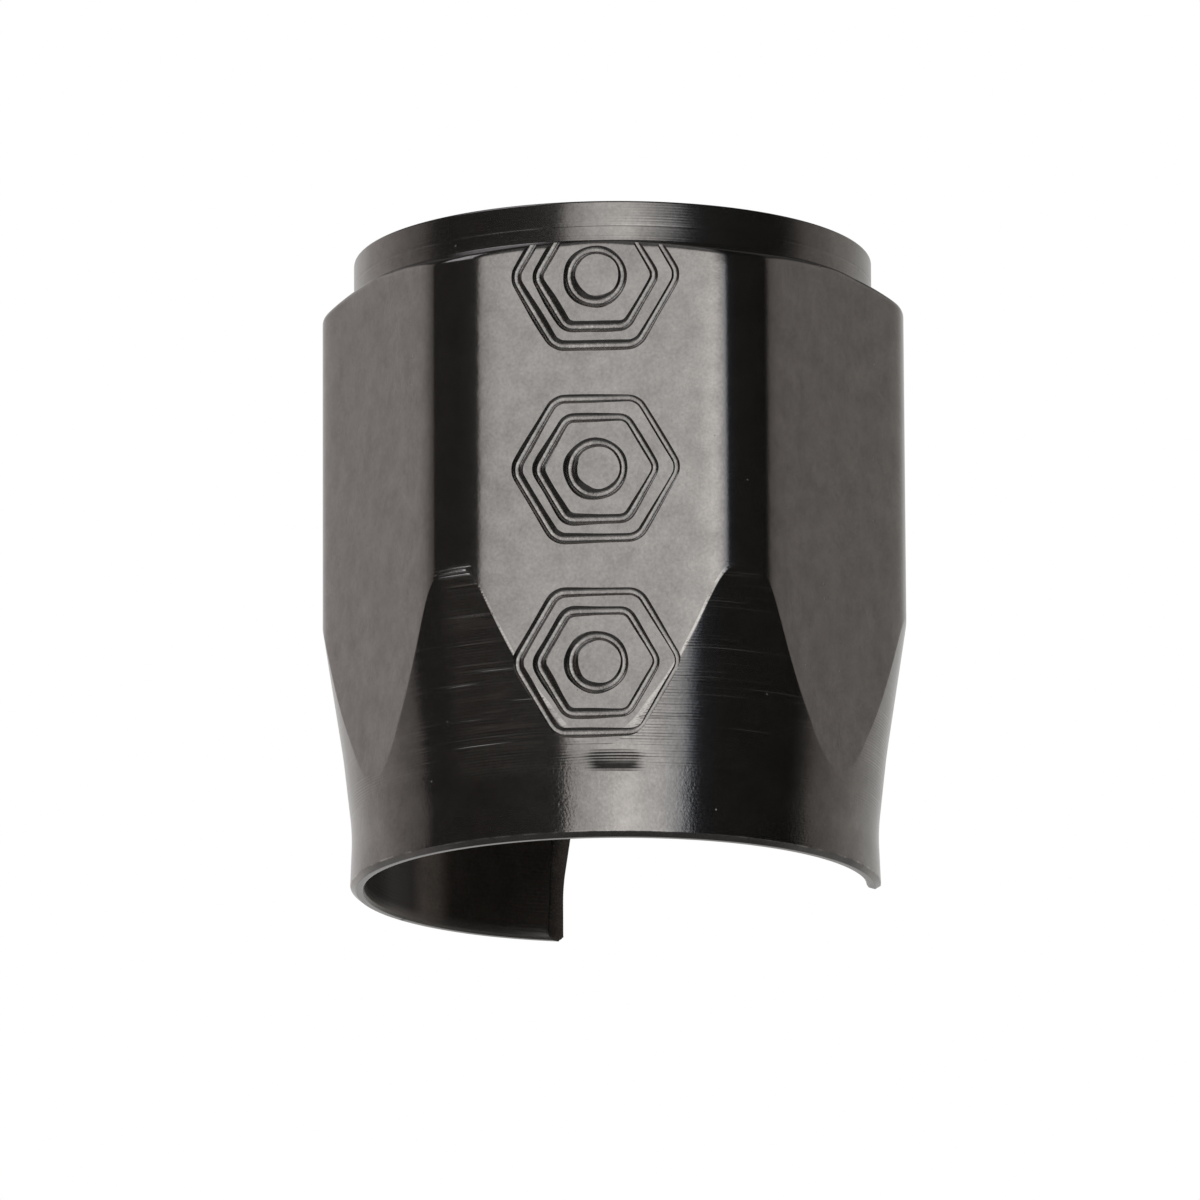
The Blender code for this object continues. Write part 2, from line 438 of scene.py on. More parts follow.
def build_sleeve(groups):
    """The skin with its finishes, less the window, its edge chamfers and the stamped grooves. Each
    groove has its line and its mean share of the full depth."""
    body = sleeve_body()
    sort_faces(body, [outside_material(groups), faced_material(groups), bore_material(groups)])
    window_cutters = [
        window_cutter(),
        edge_breaker("outer_break", skin_radius, -1.0),
        edge_breaker("inner_break", lambda angle, z: np.full_like(z, CHAMBER_RADIUS), 1.0),
    ]
    marks = (
        ("outer_groove", loop_hexagon(MARK_HALF_HEIGHT), 0.72),
        ("inner_groove", loop_hexagon(MARK_INNER_HALF_HEIGHT), 0.8),
        ("ring_groove", loop_ring(MARK_RING_RADIUS), 0.85),
    )
    groove_cutters = []
    for number, centre_z in enumerate(MARK_HEIGHTS):
        for name, loop, struck in marks:
            groove_cutters.append(groove_cutter(f"{name}_{number}", loop, centre_z, struck, number))
    for cutters, material in (
        (window_cutters, window_material(groups)),
        (groove_cutters, stamp_material(groups)),
    ):
        for cutter in cutters:
            cutter.data.materials.append(material)
    machine(body, window_cutters + groove_cutters)
    return body


def node(tree, kind, inputs=None, **settings):
    """Adds a shader node, sets its options, and feeds each named input from a socket or a value."""
    made = tree.nodes.new(kind)
    for name, value in settings.items():
        setattr(made, name, value)
    for name, value in (inputs or {}).items():
        if isinstance(value, bpy.types.NodeSocket):
            tree.links.new(value, made.inputs[name])
        else:
            made.inputs[name].default_value = value
    return made


def math_node(tree, operation, *values):
    """A Math node's result."""
    return node(tree, "ShaderNodeMath", dict(enumerate(values)), operation=operation).outputs[0]


def times(tree, a, b):
    """Two values multiplied."""
    return math_node(tree, "MULTIPLY", a, b)


def times_plus(tree, a, b, c):
    """Two values multiplied, and a third added."""
    return math_node(tree, "MULTIPLY_ADD", a, b, c)


def larger(tree, a, b):
    """The larger of two values."""
    return math_node(tree, "MAXIMUM", a, b)


def vector_node(tree, operation, inputs):
    """A Vector Math node's result."""
    return node(tree, "ShaderNodeVectorMath", inputs, operation=operation).outputs[0]


def mixed_colour(tree, factor, a, b):
    """Two colours mixed: the first at factor 0, the second at 1."""
    return node(tree, "ShaderNodeMix", {"Factor": factor, 6: a, 7: b}, data_type="RGBA").outputs[2]


def ramp_between(tree, value, low, high):
    """0 up to low, 1 past high, and a smooth step between."""
    made = node(tree, "ShaderNodeMapRange", {"Value": value, "From Min": low, "From Max": high},
                interpolation_type="SMOOTHSTEP")
    return made.outputs["Result"]


def noise(tree, vector, scale, detail, roughness=0.5, fourth=None):
    """A cloud noise of 0 to 1, with a fourth coordinate where one is given."""
    inputs = {"Vector": vector, "Scale": scale, "Detail": detail, "Roughness": roughness}
    if fourth is None:
        return node(tree, "ShaderNodeTexNoise", inputs).outputs[0]
    inputs["W"] = fourth
    return node(tree, "ShaderNodeTexNoise", inputs, noise_dimensions="4D").outputs[0]


def new_group(name, inputs, outputs):
    """An empty shader node group with named number and vector sockets."""
    group = bpy.data.node_groups.new(name, "ShaderNodeTree")
    for label, kind, value in inputs:
        socket = group.interface.new_socket(label, in_out="INPUT", socket_type=kind)
        if value is not None:
            socket.default_value = value
    for label, kind in outputs:
        group.interface.new_socket(label, in_out="OUTPUT", socket_type=kind)
    return group, group.nodes.new("NodeGroupInput").outputs, group.nodes.new("NodeGroupOutput")


def place(tree, group, inputs):
    """A group in a material, with its inputs set."""
    return node(tree, "ShaderNodeGroup", inputs, node_tree=group).outputs


FLOAT = "NodeSocketFloat"
VECTOR = "NodeSocketVector"


def make_tool_lines():
    """Fine lines left by a turning tool, -1 to 1: a cosine across the lines whose phase and depth
    drift with a noise that is quick across and slow along. Streaks are the few deeper, broken
    ones."""
    group, given, out = new_group(
        "tool_lines",
        [
            ("Position", VECTOR, None),
            ("Across", FLOAT, 0.0),
            ("Pitch", FLOAT, 0.12),
            ("Length", FLOAT, 4.0),
        ],
        [("Height", FLOAT), ("Streaks", FLOAT)],
    )
    steps = math_node(group, "DIVIDE", given["Across"], given["Pitch"])
    shrink = math_node(group, "DIVIDE", 1 / MM, given["Length"])
    slow = vector_node(group, "SCALE", {0: given["Position"], "Scale": shrink})
    drift = noise(group, slow, 1.0, 2.0, 0.6, times(group, steps, 0.4))
    wave = math_node(group, "COSINE", times_plus(group, drift, 3.0, times(group, steps, TAU)))
    level = times_plus(group, drift, 3.0, -1.0)
    height = times_plus(group, wave, level, times_plus(group, drift, 2.0, -1.0))
    rare = noise(group, slow, 1.0, 1.0, 0.5, times(group, steps, 0.9))
    streaks = ramp_between(group, rare, 0.58, 0.73)
    group.links.new(height, out.inputs["Height"])
    group.links.new(streaks, out.inputs["Streaks"])
    return group


def make_grain():
    """The matt grain of anodised metal, -1 to 1: a fine noise, a cloudy one eight times its size
    for slow changes, and the share of the dye's tone that both give."""
    group, given, out = new_group(
        "anodised_grain",
        [("Position", VECTOR, None), ("Size", FLOAT, 0.1), ("Contrast", FLOAT, 1.0)],
        [("Fine", FLOAT), ("Cloud", FLOAT), ("Tone", FLOAT)],
    )
    scale = math_node(group, "DIVIDE", 1 / MM, given["Size"])
    fine = times_plus(group, noise(group, given["Position"], scale, 2.0, 0.6), 2.0, -1.0)
    cloud = noise(group, given["Position"], times(group, scale, 0.12), 4.0, 0.65)
    cloud = times_plus(group, cloud, 2.0, -1.0)
    mixed = times_plus(group, cloud, 0.35, times(group, fine, 0.25))
    tone = times_plus(group, mixed, given["Contrast"], 1.0)
    group.links.new(fine, out.inputs["Fine"])
    group.links.new(cloud, out.inputs["Cloud"])
    group.links.new(tone, out.inputs["Tone"])
    return group


def make_specks():
    """Scattered pinholes and dust: round dots at the middles of a cell pattern, kept only in cells
    whose random value is high."""
    group, given, out = new_group(
        "specks",
        [
            ("Position", VECTOR, None),
            ("Spacing", FLOAT, 0.8),
            ("Share", FLOAT, 0.3),
            ("Dot", FLOAT, 0.05),
        ],
        [("Mask", FLOAT)],
    )
    scale = math_node(group, "DIVIDE", 1 / MM, given["Spacing"])
    cells = node(group, "ShaderNodeTexVoronoi", {"Vector": given["Position"], "Scale": scale})
    share = math_node(group, "SUBTRACT", 1.0, given["Share"])
    chance = node(group, "ShaderNodeSeparateColor", {"Color": cells.outputs["Color"]})
    kept = math_node(group, "GREATER_THAN", chance.outputs[0], share)
    reach = times(group, given["Dot"], math_node(group, "ADD", chance.outputs[1], 0.4))
    edge = times(group, reach, 0.5)
    near = node(group, "ShaderNodeMapRange",
                {"Value": cells.outputs["Distance"], "From Min": reach, "From Max": edge})
    group.links.new(times(group, near.outputs["Result"], kept), out.inputs["Mask"])
    return group


ANODISE = (0.2, 0.19, 0.181)
BORE_DYE = (0.21, 0.18, 0.158)
# The paler colour for worn spots, which also gives the painted highlights at the rim and on the bore's
# inner edge.
WORN_AND_HIGHLIGHT = (0.42, 0.4, 0.38)


def finish_material(material, tree, height, tone, roughness, wear_and_highlight, dull=False):
    """The black anodised finish: tone scales the dye's colour and in places carries painted light and
    painted shade; the lightening share mixes it towards a paler colour for worn spots and for painted
    highlights; and the height in millimetres drives the bump. Dull is the bores' and the window's: a
    browner dye, little shine."""
    shader = tree.nodes["Principled BSDF"]
    toned = vector_node(tree, "SCALE", {0: BORE_DYE if dull else ANODISE, "Scale": tone})
    tree.links.new(mixed_colour(tree, wear_and_highlight, toned, (*WORN_AND_HIGHLIGHT, 1.0)), shader.inputs["Base Color"])
    tree.links.new(roughness, shader.inputs["Roughness"])
    shader.inputs["Metallic"].default_value = 0.3 if dull else 0.975
    if dull:
        shader.inputs["Specular IOR Level"].default_value = 0.3
    bump = node(tree, "ShaderNodeBump", {"Strength": 1.0, "Distance": MM, "Height": height})
    tree.links.new(bump.outputs[0], shader.inputs["Normal"])
    return material


def new_material(name):
    """A node material, with its tree and the object's coordinates."""
    material = bpy.data.materials.new(name)
    material.use_nodes = True
    tree = material.node_tree
    return material, tree, node(tree, "ShaderNodeTexCoord").outputs["Object"]


def in_millimetres(tree, position):
    """A position's x, y and z, from metres to millimetres."""
    axes = node(tree, "ShaderNodeSeparateXYZ", {"Vector": position})
    return [times(tree, axes.outputs[k], 1 / MM) for k in range(3)]


def see_through(material, share):
    """Mixes a material's surface with a clear one: solid at 0 and gone at 1."""
    tree = material.node_tree
    solid = tree.nodes["Principled BSDF"].outputs[0]
    clear = node(tree, "ShaderNodeBsdfTransparent").outputs[0]
    mixed = node(tree, "ShaderNodeMixShader", {"Fac": share, 1: solid, 2: clear})
    tree.links.new(mixed.outputs[0], tree.nodes["Material Output"].inputs["Surface"])


def hill(tree, value, middle, reach, slope):
    """1 within reach of the middle, falling smoothly to 0 over the slope's width."""
    away = math_node(tree, "ABSOLUTE", math_node(tree, "SUBTRACT", value, middle))
    return ramp_between(tree, away, reach + slope, reach)


def hill_degrees(tree, angle, middle, reach, slope):
    """The same along an angle in radians, with its place and widths given in degrees."""
    return hill(tree, angle, math.radians(middle), math.radians(reach), math.radians(slope))


def hill_from_to(tree, value, low, high, slope):
    """1 from low to high, falling smoothly to 0 over the slope's width outside them."""
    return hill(tree, value, (high + low) / 2, (high - low) / 2, slope)


def axis_distance(tree, x, y):
    """A point's distance from the bore's axis."""
    return math_node(tree, "SQRT", times_plus(tree, x, x, times(tree, y, y)))


def angle_round(tree, x, y):
    """A point's angle round the bore, 0 at the front and up to half a turn either way."""
    return math_node(tree, "ARCTAN2", x, times(tree, y, -1.0))


def turned_share(tree, x, y, z):
    """1 on the turned skin and 0 on the flats, and how far a point lies inside the turned radius.
    On the taper and the corner cylinder it lies within a hair of their radius at its height; on
    the collar and the corner cone it lies above the cone's line; and below the tongues everything
    is turned."""
    radius = axis_distance(tree, x, y)
    upper = times_plus(tree, z, UPPER_SLOPE, CORNER_RADIUS - BREAK_Z * UPPER_SLOPE)
    lower = times_plus(tree, z, LOWER_SLOPE, NECK_RADIUS - NECK_Z * LOWER_SLOPE)
    taper = math_node(tree, "MINIMUM", larger(tree, upper, lower), CORNER_RADIUS)
    gap = math_node(tree, "SUBTRACT", taper, radius)
    on_bar = ramp_between(tree, z, BREAK_Z - 0.1, BREAK_Z + 0.1)
    hair = times_plus(tree, on_bar, 0.07, 0.03)
    share = ramp_between(tree, math_node(tree, "DIVIDE", gap, hair), 1.0, 0.4)
    cone_z = times_plus(tree, radius, -CONE_SLOPE, cone_height(0.0))
    above = ramp_between(tree, math_node(tree, "SUBTRACT", z, cone_z), -0.06, -0.02)
    below = ramp_between(tree, z, 3.8, 3.5)
    return larger(tree, share, larger(tree, above, below)), gap


def painted_shade_share(tree, x, y, z, line_height):
    """The painted shade under the front tongue, a streaky dark patch: 1 inside a rounded box whose
    edge is the fourth root of the sum of fourth powers, made ragged by the turning lines, with lighter
    rows in its upper part."""
    middle_x, half_width = 0.68, 1.25
    middle_z, half_height = 3.17, 0.52
    across = times_plus(tree, x, 1 / half_width, -middle_x / half_width)
    upward = times_plus(tree, z, 1 / half_height, -middle_z / half_height)
    powers = []
    for side in (across, upward):
        powers.append(math_node(tree, "POWER", math_node(tree, "ABSOLUTE", side), 4.0))
    distance = math_node(tree, "POWER", math_node(tree, "ADD", *powers), 0.25)
    share = ramp_between(tree, times_plus(tree, line_height, -0.14, distance), 1.05, 0.6)
    rows = ramp_between(tree, line_height, 0.3, -0.5)
    rows = times(tree, rows, ramp_between(tree, upward, -0.4, 0.2))
    share = times(tree, share, times_plus(tree, rows, -0.75, 1.0))
    return times(tree, share, math_node(tree, "LESS_THAN", y, 0.0))


def outside_material(groups):
    """The outer skin. A point on a flat gets the drawn bar's grain. Elsewhere it gets turning lines,
    deepest on the upper cone, with streaks, and ridges where the cone starts. They are torn light at
    the front left and at the back. The rim's edge is worn and painted lighter as a highlight, a burr
    along the front tongue is worn lighter, specks lie all over, and painted shade darkens a patch
    under the front tongue."""
    material, tree, position = new_material("anodised_outside")
    x, y, z = in_millimetres(tree, position)
    angle = angle_round(tree, x, y)
    turned, gap = turned_share(tree, x, y, z)
    on_collar = ramp_between(tree, z, SHOULDER_Z - 0.1, SHOULDER_Z)
    on_cone = hill_from_to(tree, z, NECK_Z + 0.7, BREAK_Z, 0.4)
    on_skirt = ramp_between(tree, z, NECK_Z + 0.9, NECK_Z + 0.5)
    lines = place(tree, groups["lines"],
                  {"Position": position, "Across": z, "Pitch": 0.12, "Length": 6.0})
    grain = place(tree, groups["grain"], {"Position": position, "Size": 0.13, "Contrast": 1.0})
    share = times_plus(tree, on_collar, 0.4, 0.3)
    specks = place(tree, groups["specks"],
                   {"Position": position, "Spacing": 0.7, "Share": share, "Dot": 0.06})

    line_depth = times_plus(tree, on_cone, 0.0042, 0.0002)
    line_depth = times_plus(tree, on_collar, 0.001, line_depth)
    line_depth = times_plus(tree, on_skirt, 0.0008, line_depth)
    streak_depth = times_plus(tree, on_cone, -0.006, times(tree, on_skirt, -0.0015))
    ridge_pitch = 0.17
    ridge_wave = math_node(tree, "COSINE", times(tree, z, TAU / ridge_pitch))
    ridges = times(tree, hill(tree, z, BREAK_Z - 0.13, ridge_pitch, 0.05), ridge_wave)
    ridge_depth = times_plus(tree, hill_degrees(tree, angle, -28.0, 4.0, 3.0), 0.012, 0.002)
    turned_height = times(tree, lines["Height"], line_depth)
    turned_height = times_plus(tree, lines["Streaks"], streak_depth, turned_height)
    turned_height = times_plus(tree, ridges, ridge_depth, turned_height)
    pit_depth = times_plus(tree, on_skirt, 0.0016, 0.0008)
    turned_height = times_plus(tree, grain["Fine"], pit_depth, turned_height)
    flat_height = times_plus(tree, grain["Cloud"], 0.005, times(tree, grain["Fine"], 0.0004))
    height = node(tree, "ShaderNodeMix", {"Factor": turned, 2: flat_height, 3: turned_height})
    height = times_plus(tree, specks["Mask"], -0.008, height.outputs[0])

    # Painted shade: a dark patch under the front tongue, cut into the tone.
    painted_shade = painted_shade_share(tree, x, y, z, lines["Height"])
    tone = times_plus(tree, times(tree, painted_shade, grain["Tone"]), -0.93, grain["Tone"])

    torn_front = hill_degrees(tree, angle, -26.0, 2.0, 6.0)
    torn_back = hill_degrees(tree, angle, 152.0, 20.0, 20.0)
    torn = times(tree, larger(tree, torn_front, torn_back), on_cone)
    torn = times(tree, torn, turned)
    faint = times(tree, ramp_between(tree, lines["Height"], 0.1, 1.0), 0.3)
    faint = larger(tree, faint, times(tree, lines["Streaks"], 0.9))
    torn = times(tree, torn, larger(tree, faint, ridges))

    roughness = times_plus(tree, turned, -0.05, 0.15)
    roughness = times_plus(tree, torn, 0.2, roughness)
    roughness = times_plus(tree, on_collar, 0.07, roughness)
    roughness = times_plus(tree, grain["Fine"], 0.03, roughness)
    roughness = times_plus(tree, specks["Mask"], 0.3, roughness)

    # Painted highlight and wear: the rim's chamfer edge is painted lighter where it glints.
    painted_light = hill(tree, z, CHAMFER_HEIGHT, 0.015, 0.03)
    painted_light = times(tree, painted_light, ramp_between(tree, grain["Cloud"], -0.1, 0.3))
    burr = hill(tree, gap, 0.022, 0.012, 0.008)
    burr = times(tree, burr, ramp_between(tree, grain["Cloud"], -0.3, 0.1))
    burr = times(tree, burr, hill_from_to(tree, z, 4.4, BREAK_Z, 0.1))
    burr = times(tree, burr, hill_degrees(tree, angle, 0.0, 27.0, 2.0))
    wear_and_highlight = larger(tree, painted_light, times(tree, specks["Mask"], 0.5))
    wear_and_highlight = larger(tree, wear_and_highlight, torn)
    wear_and_highlight = larger(tree, wear_and_highlight, times(tree, burr, 0.5))
    return finish_material(material, tree, height, tone, roughness, wear_and_highlight)


def faced_material(groups):
    """Faces square to the bore: fine rings that follow the radius."""
    material, tree, position = new_material("anodised_faced")
    x, y, _ = in_millimetres(tree, position)
    radius = axis_distance(tree, x, y)
    lines = place(tree, groups["lines"],
                  {"Position": position, "Across": radius, "Pitch": 0.1, "Length": 5.0})
    grain = place(tree, groups["grain"], {"Position": position, "Size": 0.12, "Contrast": 1.0})
    specks = place(tree, groups["specks"],
                   {"Position": position, "Spacing": 1.0, "Share": 0.3, "Dot": 0.05})
    height = times(tree, lines["Height"], 0.0013)
    height = times_plus(tree, lines["Streaks"], -0.004, height)
    height = times_plus(tree, specks["Mask"], -0.008, height)
    roughness = times_plus(tree, grain["Fine"], 0.04, 0.18)
    wear_and_highlight = times(tree, specks["Mask"], 0.3)
    return finish_material(material, tree, height, grain["Tone"], roughness, wear_and_highlight)


def bore_material(groups):
    """The bores: wider feed lines than outside and a deeper black. A painted reflection makes a narrow
    lighter stripe inside the skirt, and painted light lightens the wall from there to the window. The
    inner edge of the rim is painted light, a painted highlight."""
    material, tree, position = new_material("anodised_bore")
    x, y, z = in_millimetres(tree, position)
    angle = angle_round(tree, x, y)
    lines = place(tree, groups["lines"],
                  {"Position": position, "Across": z, "Pitch": 0.16, "Length": 6.0})
    grain = place(tree, groups["grain"], {"Position": position, "Size": 0.13, "Contrast": 1.2})
    height = times(tree, lines["Height"], 0.003)
    height = times_plus(tree, lines["Streaks"], -0.006, height)
    # Painted reflection: a narrow lighter stripe inside the skirt, where light through the window is
    # mirrored.
    painted_reflection_band = hill_degrees(tree, angle, -128.0, 1.5, 6.0)
    painted_reflection_band = times(tree, painted_reflection_band, ramp_between(tree, z, 12.5, 9.0))
    # Painted light: the wall towards the window is painted lighter.
    painted_light = ramp_between(tree, angle, math.radians(-122.0), math.radians(-138.0))
    painted_light = times(tree, painted_light, ramp_between(tree, z, 7.8, 5.2))
    level = math_node(tree, "ADD", painted_reflection_band, times_plus(tree, painted_light, 0.42, 0.2))
    tone = times(tree, grain["Tone"], level)
    roughness = times_plus(tree, grain["Fine"], 0.05, 0.3)
    # Painted highlight: the rim's inner edge is painted lighter, standing in for its reflection of the
    # lighter studio below.
    painted_lip_highlight = times(tree, ramp_between(tree, z, 0.6, 0.05), 0.85)
    return finish_material(material, tree, height, tone, roughness, painted_lip_highlight, dull=True)


def window_material(groups):
    """The window's cut faces: cutter lines that run straight through the wall, from a grain that
    is stretched along the cutter."""
    material, tree, position = new_material("anodised_window")
    to_window = (0.0, 0.0, -WINDOW_AZIMUTH)
    long_lines = (1.0, 0.06, 1.0)
    stretched = node(tree, "ShaderNodeMapping",
                     {"Vector": position, "Rotation": to_window, "Scale": long_lines})
    grain = place(tree, groups["grain"],
                  {"Position": stretched.outputs[0], "Size": 0.1, "Contrast": 1.4})
    height = times(tree, grain["Fine"], 0.004)
    tone = times(tree, grain["Tone"], 0.35)
    roughness = times_plus(tree, grain["Fine"], 0.06, 0.26)
    wear_and_highlight = times(tree, ramp_between(tree, grain["Cloud"], 0.1, 0.7), 0.1)
    return finish_material(material, tree, height, tone, roughness, wear_and_highlight, dull=True)


def stamp_material(groups):
    """The stamped grooves: pressed metal with a coarser grain and some dust on the floor."""
    material, tree, position = new_material("anodised_stamp")
    _, y, _ = in_millimetres(tree, position)
    grain = place(tree, groups["grain"], {"Position": position, "Size": 0.1, "Contrast": 1.3})
    depth = math_node(tree, "ADD", y, FLAT_DISTANCE)
    floor_share = ramp_between(tree, depth, GROOVE_DEPTH * 0.5, GROOVE_DEPTH)
    height = times(tree, grain["Fine"], 0.003)
    roughness = times_plus(tree, grain["Fine"], 0.06, 0.18)
    dusty = times(tree, floor_share, ramp_between(tree, grain["Fine"], 0.0, 1.0))
    return finish_material(material, tree, height, grain["Tone"], roughness, dusty)


# The studio's walls, left to right round the camera's axis: (degrees, red, green, blue). Grey on the
# left, a dark gap, one tall bright panel in front, a wide dark gap, and grey on the right.
STUDIO_WALLS = (
    (-180, 0.63, 0.62, 0.61),
    (-150, 0.72, 0.70, 0.69),
    (-127, 0.65, 0.605, 0.60),
    (-107, 0.42, 0.39, 0.38),
    (-93, 0.24, 0.225, 0.22),
    (-88, 0.04, 0.037, 0.034),
    (-60, 0.035, 0.031, 0.027),
    (-26, 0.06, 0.057, 0.054),
    (-22.5, 0.12, 0.115, 0.11),
    (-19.5, 1.02, 1.01, 1.0),
    (-7, 1.6, 1.6, 1.61),
    (4, 2.3, 2.28, 2.26),
    (12, 2.02, 2.02, 2.02),
    (20, 1.6, 1.61, 1.63),
    (28.5, 1.0, 1.04, 1.1),
    (31.8, 0.33, 0.37, 0.44),
    (34.6, 0.03, 0.035, 0.045),
    (44, 0.018, 0.018, 0.016),
    (82, 0.011, 0.011, 0.009),
    (89, 0.08, 0.075, 0.07),
    (96, 0.26, 0.245, 0.235),
    (113, 0.41, 0.385, 0.37),
    (140, 0.58, 0.57, 0.55),
    (180, 0.63, 0.62, 0.61),
)
# A colour ramp ends at 1, so it holds each level as a share of this one.
WALL_PEAK = 2.5

# The lamp over the left and the weak low strip: middle, reach and slope in degrees, round and up
LAMP_ROUND = (-58.0, 18.0, 6.0)
LAMP_UP = (46.0, 16.0, 6.0)
LAMP_GLOW = (1.2, 1.22, 1.3)
STRIP_ROUND = (-50.0, 16.0, 10.0)
STRIP_UP = (-6.0, 6.0, 5.0)
STRIP_GLOW = (0.06, 0.057, 0.054)

# The rest of the studio: the walls' cap low down, the ceiling as a share of the walls, the floor's
# bounce as a share and a level, and the colour straight below
LOW_WALL_CAP = (0.8, 0.8, 0.8)
CEILING_SHARE = (0.16, 0.16, 0.16)
BOUNCE_SHARE = (0.3, 0.3, 0.3)
BOUNCE_LEVEL = (0.15, 0.15, 0.15)
NADIR = (0.12, 0.12, 0.12, 1.0)
WHITE = (1.0, 1.0, 1.0, 1.0)

# The photograph's camera: how far round the sleeve, below it and rolled, then its distance, how far
# it is moved right and up, and its focal length in pixels of the frame
CAMERA_TURN = math.radians(3.6)
CAMERA_TILT = math.radians(12.962)
CAMERA_ROLL = math.radians(0.2728)
CAMERA_DISTANCE = 585.22
CAMERA_RIGHT = -0.592
CAMERA_UP = -0.979
FOCAL_PIXELS = 14010.26
FRAME_PIXELS = 1200
SENSOR_WIDTH = 36.0

# The floor's rings, and the card in front of the collar
FLOOR_STEPS = 96
FLOOR_RINGS = (20.0, 60.0, 120.0, 200.0, 300.0, 420.0)
FLAG_AZIMUTH = math.radians(31.6)
FLAG_DISTANCE = 60.0
FLAG_LEFT = -44.0
FLAG_BOTTOM_Z = 36.8
FLAG_WIDTH = 56.0
FLAG_HEIGHT = 73.0
FLAG_OPEN_RIGHT = 0.25


def studio_world():
    """White to the camera. To the object, the studio's bright panel and grey walls near eye level,
    a weak strip on the left just below it, a dim ceiling with one soft light over the left, and a
    dim pale floor below, where the panel is capped first."""
    world = bpy.data.worlds.new("studio")
    world.use_nodes = True
    tree = world.node_tree
    direction = node(tree, "ShaderNodeTexCoord").outputs["Generated"]
    axes = node(tree, "ShaderNodeSeparateXYZ", {"Vector": direction})
    angle = angle_round(tree, axes.outputs["X"], axes.outputs["Y"])
    turns = times_plus(tree, angle, 1 / TAU, 1.5 - CAMERA_TURN / TAU)
    turns = math_node(tree, "FRACT", turns)
    degrees = times_plus(tree, turns, 360.0, -180.0)
    elevation = times(tree, math_node(tree, "ARCSINE", axes.outputs["Z"]), 360 / TAU)
    wall = node(tree, "ShaderNodeValToRGB", {"Fac": turns})
    stops = wall.color_ramp.elements
    stops[1].position = 1.0
    for stop in STUDIO_WALLS[1:-1]:
        stops.new((stop[0] + 180) / 360)
    for stop, (_, *colour) in zip(stops, STUDIO_WALLS):
        stop.color = [level / WALL_PEAK for level in colour] + [1.0]
    side = vector_node(tree, "SCALE", {0: wall.outputs["Color"], "Scale": WALL_PEAK})
    lamp = times(tree, hill(tree, degrees, *LAMP_ROUND), hill(tree, elevation, *LAMP_UP))
    glow = vector_node(tree, "SCALE", {0: LAMP_GLOW, "Scale": lamp})
    ceiling = vector_node(tree, "MULTIPLY_ADD", {0: side, 1: CEILING_SHARE, 2: glow})
    bounce = vector_node(tree, "MULTIPLY_ADD", {0: side, 1: BOUNCE_SHARE, 2: BOUNCE_LEVEL})
    strip = times(tree, hill(tree, degrees, *STRIP_ROUND), hill(tree, elevation, *STRIP_UP))
    strip = vector_node(tree, "SCALE", {0: STRIP_GLOW, "Scale": strip})
    capped = vector_node(tree, "MINIMUM", {0: side, 1: LOW_WALL_CAP})
    shown = vector_node(tree, "ADD", {0: side, 1: strip})
    for factor, layer in (
        (ramp_between(tree, elevation, -8.0, -13.0), capped),
        (ramp_between(tree, elevation, 24.0, 34.0), ceiling),
        (ramp_between(tree, elevation, -14.0, -28.0), bounce),
        (ramp_between(tree, elevation, -38.0, -58.0), NADIR),
        (node(tree, "ShaderNodeLightPath").outputs["Is Camera Ray"], WHITE),
    ):
        shown = mixed_colour(tree, factor, shown, layer)
    tree.links.new(shown, tree.nodes["Background"].inputs["Color"])
    bpy.context.scene.world = world


def studio_floor():
    """A pale round floor that fades into the white beyond it. It is see-through from below, where
    the photograph's camera stands."""
    turn = np.linspace(0, TAU, FLOOR_STEPS, endpoint=False)
    reach = np.array(FLOOR_RINGS)[:, None]
    x = reach * np.sin(turn)
    y = reach * np.cos(turn)
    points = np.stack([x, y, np.zeros_like(x)], axis=-1).reshape(-1, 3)
    faces = ring_faces(len(FLOOR_RINGS), FLOOR_STEPS, False, True).tolist()
    faces.append(list(range(FLOOR_STEPS - 1, -1, -1)))
    floor = add_mesh("floor", points, faces)
    if floor.data.polygons[0].normal.z < 0:
        floor.data.flip_normals()
    material, tree, position = new_material("pale_floor")
    shader = tree.nodes["Principled BSDF"]
    cloud = noise(tree, position, 60.0, 5.0)
    tone = node(tree, "ShaderNodeMapRange", {"Value": cloud, "To Min": 0.78, "To Max": 0.82})
    tree.links.new(tone.outputs[0], shader.inputs["Base Color"])
    shader.inputs["Roughness"].default_value = 0.7
    distance = node(tree, "ShaderNodeVectorMath", {0: position}, operation="LENGTH").outputs["Value"]
    fade = ramp_between(tree, distance, 0.1, 0.4)
    under = node(tree, "ShaderNodeNewGeometry").outputs["Backfacing"]
    see_through(material, larger(tree, fade, under))
    floor.data.materials.append(material)
    floor.visible_glossy = False


